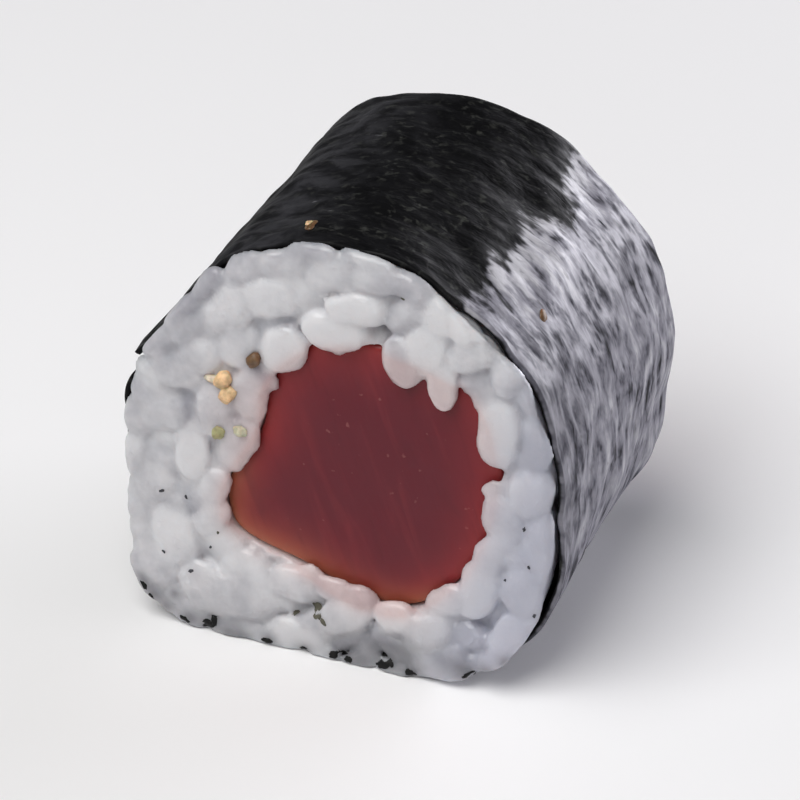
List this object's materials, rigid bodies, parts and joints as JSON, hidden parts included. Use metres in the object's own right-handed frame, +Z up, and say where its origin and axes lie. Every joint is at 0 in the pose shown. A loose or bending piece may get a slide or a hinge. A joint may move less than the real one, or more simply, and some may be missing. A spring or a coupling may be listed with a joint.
{
  "type": "maki sushi roll",
  "caption": "Cut piece of a thin sushi roll lying on its side: seaweed wrapped round pressed rice grains, round a stick of raw tuna that shows on both cut faces.",
  "frame": {"origin": "on the resting surface, under the middle of the piece", "axes": "+Y along the roll's axis away from the front cut face, +X to the right seen from the front face, +Z up"},
  "size_m": [0.0301, 0.0232, 0.03],
  "materials": {
    "nori": "dry roasted seaweed, slightly glossy and crinkled",
    "rice": "moist cooked rice",
    "tuna": "moist raw fish"
  },
  "bodies": {
    "root": {"nori": "nori", "rice": "rice", "tuna": "tuna"}
  },
  "joints": []
}
